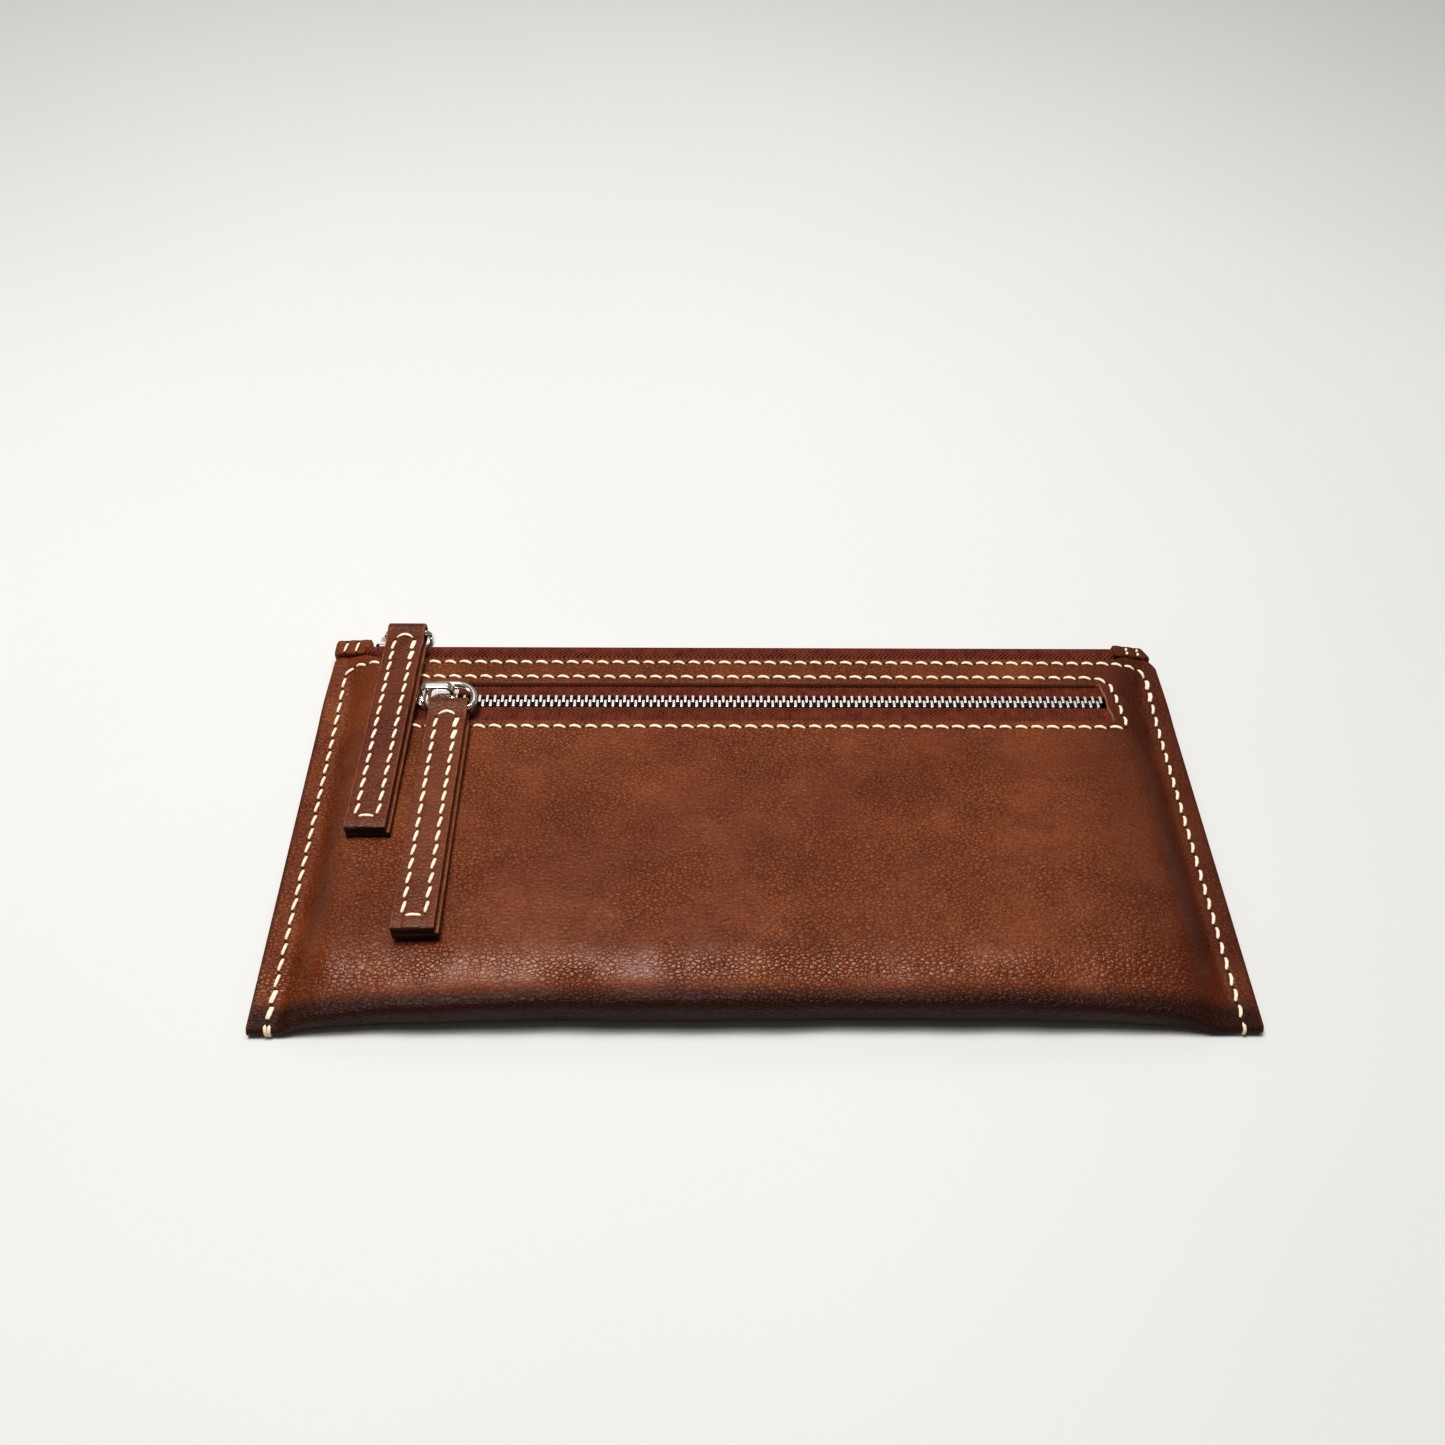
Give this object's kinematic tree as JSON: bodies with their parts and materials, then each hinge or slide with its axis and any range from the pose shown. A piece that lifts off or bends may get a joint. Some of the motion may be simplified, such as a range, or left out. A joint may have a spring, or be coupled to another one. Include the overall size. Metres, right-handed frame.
{
  "type": "zippered pouch",
  "caption": "Slim leather pouch folded from one piece, with a zipped mouth, a zipped front pocket, and leather pulls hung on wire rings.",
  "frame": {"origin": "middle of the flat back face, on the surface that the pouch lies on", "axes": "+X along both zips towards their open ends, +Y from the fold to the mouth, +Z out of the front"},
  "size_m": [0.22, 0.1189, 0.016],
  "materials": {
    "leather": "smooth brown full-grain leather with a soft sheen",
    "pull_leather": "smooth brown leather with dark painted edges",
    "lining": "dark plain woven lining",
    "zip_tape": "dark reddish brown herringbone tape",
    "zip_metal": "polished nickel teeth",
    "nickel": "polished nickel",
    "thread": "waxed cream thread"
  },
  "bodies": {
    "pouch": {"leather_body": "leather", "pocket_bag": "lining", "left_zip_tab": "leather", "right_zip_tab": "leather", "top_zip_tape_front": "zip_tape", "top_zip_tape_back": "zip_tape", "top_zip_teeth_front": "zip_metal", "top_zip_teeth_back": "zip_metal", "top_zip_top_stops": "zip_metal", "top_zip_bottom_stop": "zip_metal", "front_zip_tape_upper": "zip_tape", "front_zip_tape_lower": "zip_tape", "front_zip_teeth_upper": "zip_metal", "front_zip_teeth_lower": "zip_metal", "front_zip_top_stops": "zip_metal", "front_zip_bottom_stop": "zip_metal", "left_seam_thread": "thread", "right_seam_thread": "thread", "top_seam_thread": "thread", "window_thread": "thread", "left_tab_thread": "thread", "right_tab_thread": "thread"},
    "top_slider": {"top_slider_body": "nickel", "top_slider_crown": "nickel"},
    "top_ring": {"top_pull_ring": "nickel"},
    "top_pull": {"top_pull_strap": "pull_leather", "top_pull_thread": "thread"},
    "front_slider": {"front_slider_body": "nickel", "front_slider_crown": "nickel"},
    "front_ring": {"front_pull_ring": "nickel"},
    "front_pull": {"front_pull_strap": "pull_leather", "front_pull_thread": "thread"}
  },
  "joints": [
    {"name": "top_zip_slide", "type": "slide", "parent": "pouch", "child": "top_slider", "axis": [1, 0, 0], "range_m": [0, 0.184], "deforming": ["top_zip_teeth_front", "top_zip_teeth_back"]},
    {"name": "top_ring_lean", "type": "hinge", "parent": "top_slider", "child": "top_ring", "pos_m": [-0.0899, 0.06135, 0.0037], "axis": [-1, 0, 0], "range_deg": [0, 32]},
    {"name": "top_pull_swing", "type": "hinge", "parent": "top_ring", "child": "top_pull", "pos_m": [-0.0899, 0.0597, 0.00947], "axis": [-1, 0, 0], "range_deg": [0, 150]},
    {"name": "front_zip_slide", "type": "slide", "parent": "pouch", "child": "front_slider", "axis": [1, 0, 0], "range_m": [0, 0.164], "deforming": ["front_zip_teeth_upper", "front_zip_teeth_lower"]},
    {"name": "front_ring_turn", "type": "hinge", "parent": "front_slider", "child": "front_ring", "pos_m": [-0.08123, 0.03729, 0.01087], "axis": [0, -0.999, 0.0453], "range_deg": [0, 90]},
    {"name": "front_pull_swing", "type": "hinge", "parent": "front_ring", "child": "front_pull", "pos_m": [-0.0755, 0.0313, 0.01114], "axis": [-1, 0, 0], "range_deg": [0, 120]}
  ]
}
